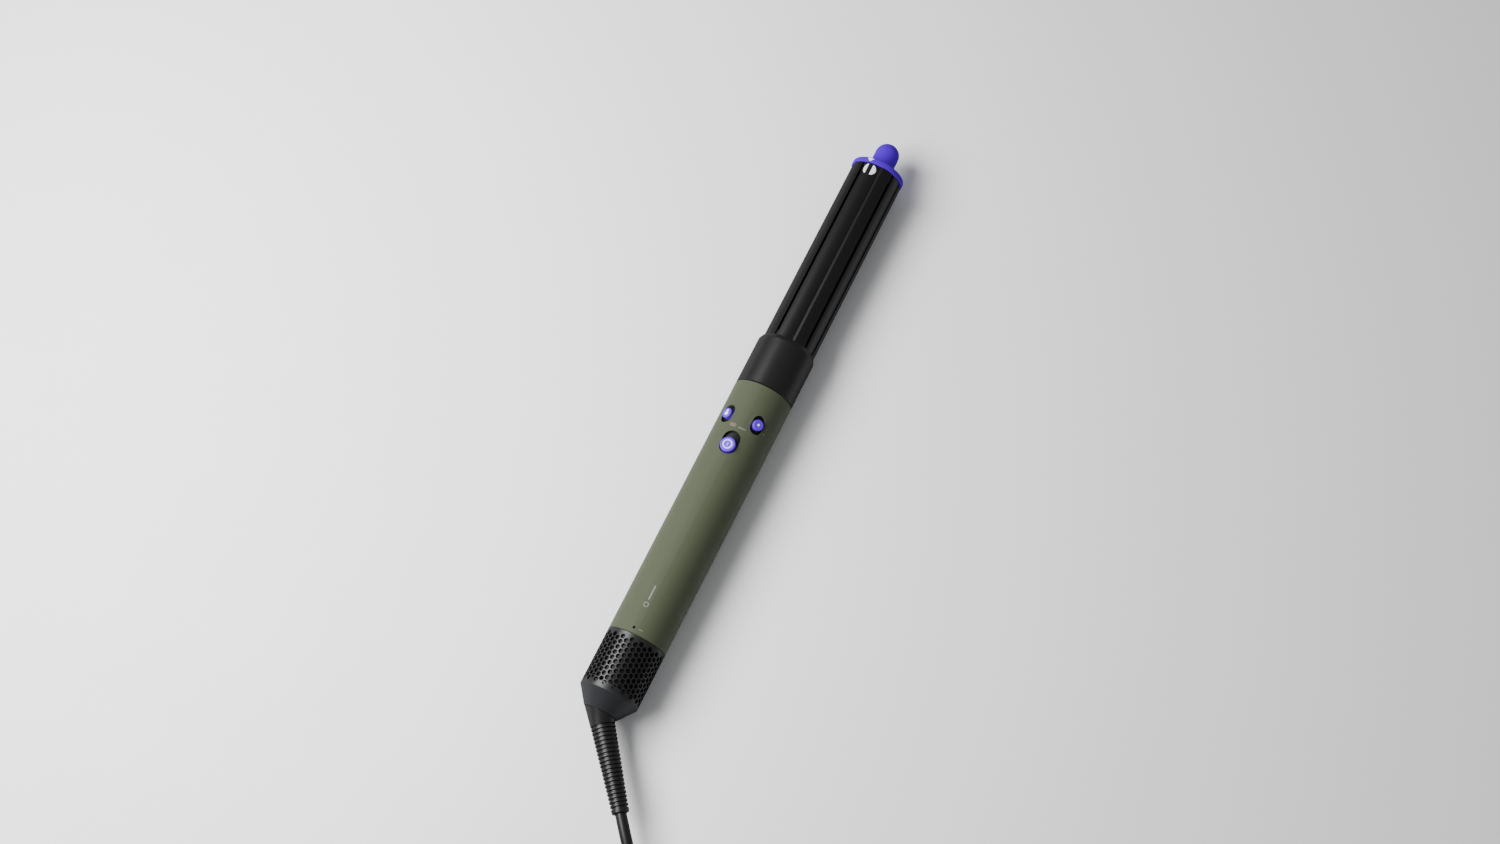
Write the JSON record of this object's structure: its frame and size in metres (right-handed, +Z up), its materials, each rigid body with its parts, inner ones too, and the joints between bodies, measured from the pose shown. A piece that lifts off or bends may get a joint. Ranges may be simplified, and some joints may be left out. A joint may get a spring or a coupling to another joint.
{
  "type": "curling iron",
  "caption": "Handheld hot-air curling styler: tube handle with three sliders, perforated inlet at the tail, pull-off vaned barrel with a twisting tip, mains lead and plug.",
  "frame": {"origin": "bottom centre of the styler's bounding box without its lead, on the surface it lies on", "axes": "+Y along the handle's axis towards the barrel's tip, +Z up, controls on top rolled about 8 degrees towards -X, strain relief leaving the tail towards +X"},
  "size_m": [0.1194, 0.6811, 0.0432],
  "materials": {
    "green_shell": "fine matte soft-touch paint",
    "light_lens": "dark clear lens",
    "inner_plastic": "moulded",
    "black_plastic": "moulded",
    "steel_mesh": "fine mesh",
    "steel": "machined",
    "circuit_board": "lacquered board",
    "rubber_mount": "moulded rubber",
    "motor_alloy": "die cast",
    "copper": "enamelled winding wire",
    "capacitor_sleeve": "shrink sleeve",
    "mica": "pressed mica",
    "heating_wire": "resistance wire",
    "boot_rubber": "moulded ribs",
    "cord_rubber": "smooth jacket",
    "tie_fabric": "hook-and-loop tape",
    "plug_plastic": "fine spark texture",
    "pin_metal": "nickel plated",
    "violet_button": "satin",
    "violet_tip": "satin",
    "grey_cage": "satin",
    "grey_cone": "satin",
    "collar_plastic": "satin",
    "barrel_plastic": "satin gloss"
  },
  "bodies": {
    "handle": {"handle_shell": "green_shell", "light_pipe": "light_lens", "tail_frame": "inner_plastic", "filter_screen": "steel_mesh", "cord_clamp": "inner_plastic", "clamp_screws": "steel", "control_bed": "inner_plastic", "sensor_board": "circuit_board", "motor_bucket": "inner_plastic", "motor_mount_rear": "rubber_mount", "motor_mount_front": "rubber_mount", "bearing_frame_rear": "motor_alloy", "bearing_frame_front": "motor_alloy", "bearing_rear": "steel", "bearing_front": "steel", "stator_core": "steel", "stator_coils": "copper", "diffuser": "inner_plastic", "board_tray": "inner_plastic", "mains_board": "circuit_board", "capacitor": "capacitor_sleeve", "choke": "copper", "heat_sink": "motor_alloy", "heater_sleeve": "mica", "heater_cross": "mica", "heater_rings": "heating_wire", "thermal_fuse": "steel", "thermistor": "mica", "spigot": "black_plastic", "spigot_seal": "rubber_mount", "detent_ring": "steel", "cord_boot": "boot_rubber", "cord_lead": "cord_rubber", "cord_tail": "cord_rubber", "cord_coil": "cord_rubber", "cord_tie": "tie_fabric", "plug_boot": "boot_rubber", "plug_body": "plug_plastic", "plug_pins": "pin_metal"},
    "power_slider": {"power_button": "violet_button", "power_slide": "black_plastic"},
    "heat_slider": {"heat_button": "violet_button", "heat_slide": "black_plastic"},
    "flow_slider": {"flow_button": "violet_button", "flow_slide": "black_plastic"},
    "cage": {"filter_cage": "grey_cage", "tail_cone": "grey_cone"},
    "fan": {"motor_shaft": "steel", "rotor_magnet": "steel", "impeller": "inner_plastic"},
    "barrel": {"barrel_collar": "collar_plastic", "barrel_core": "barrel_plastic", "barrel_vane_1": "barrel_plastic", "barrel_vane_2": "barrel_plastic", "barrel_vane_3": "barrel_plastic", "barrel_vane_4": "barrel_plastic", "barrel_vane_5": "barrel_plastic"},
    "tip": {"tip_cap": "violet_tip", "flow_sleeve": "inner_plastic", "tip_screw": "steel"}
  },
  "joints": [
    {"name": "power_slide", "type": "slide", "parent": "handle", "child": "power_slider", "axis": [0, 1, 0], "range_m": [0, 0.0048]},
    {"name": "heat_slide", "type": "slide", "parent": "handle", "child": "heat_slider", "axis": [0, 1, 0], "range_m": [-0.0022, 0.0022]},
    {"name": "flow_slide", "type": "slide", "parent": "handle", "child": "flow_slider", "axis": [0, 1, 0], "range_m": [-0.0022, 0.0022]},
    {"name": "cage_twist", "type": "hinge", "parent": "handle", "child": "cage", "pos_m": [0, -0.19, 0.0205], "axis": [0, 1, 0], "range_deg": [0, 20]},
    {"name": "fan_spin", "type": "hinge", "parent": "handle", "child": "fan", "pos_m": [0, -0.13, 0.0205], "axis": [0, 1, 0], "continuous": true},
    {"name": "barrel_pull", "type": "slide", "parent": "handle", "child": "barrel", "axis": [0, 1, 0], "range_m": [0, 0.04]},
    {"name": "tip_twist", "type": "hinge", "parent": "barrel", "child": "tip", "pos_m": [0, 0.2, 0.0205], "axis": [0, 1, 0], "range_deg": [0, 11]}
  ]
}
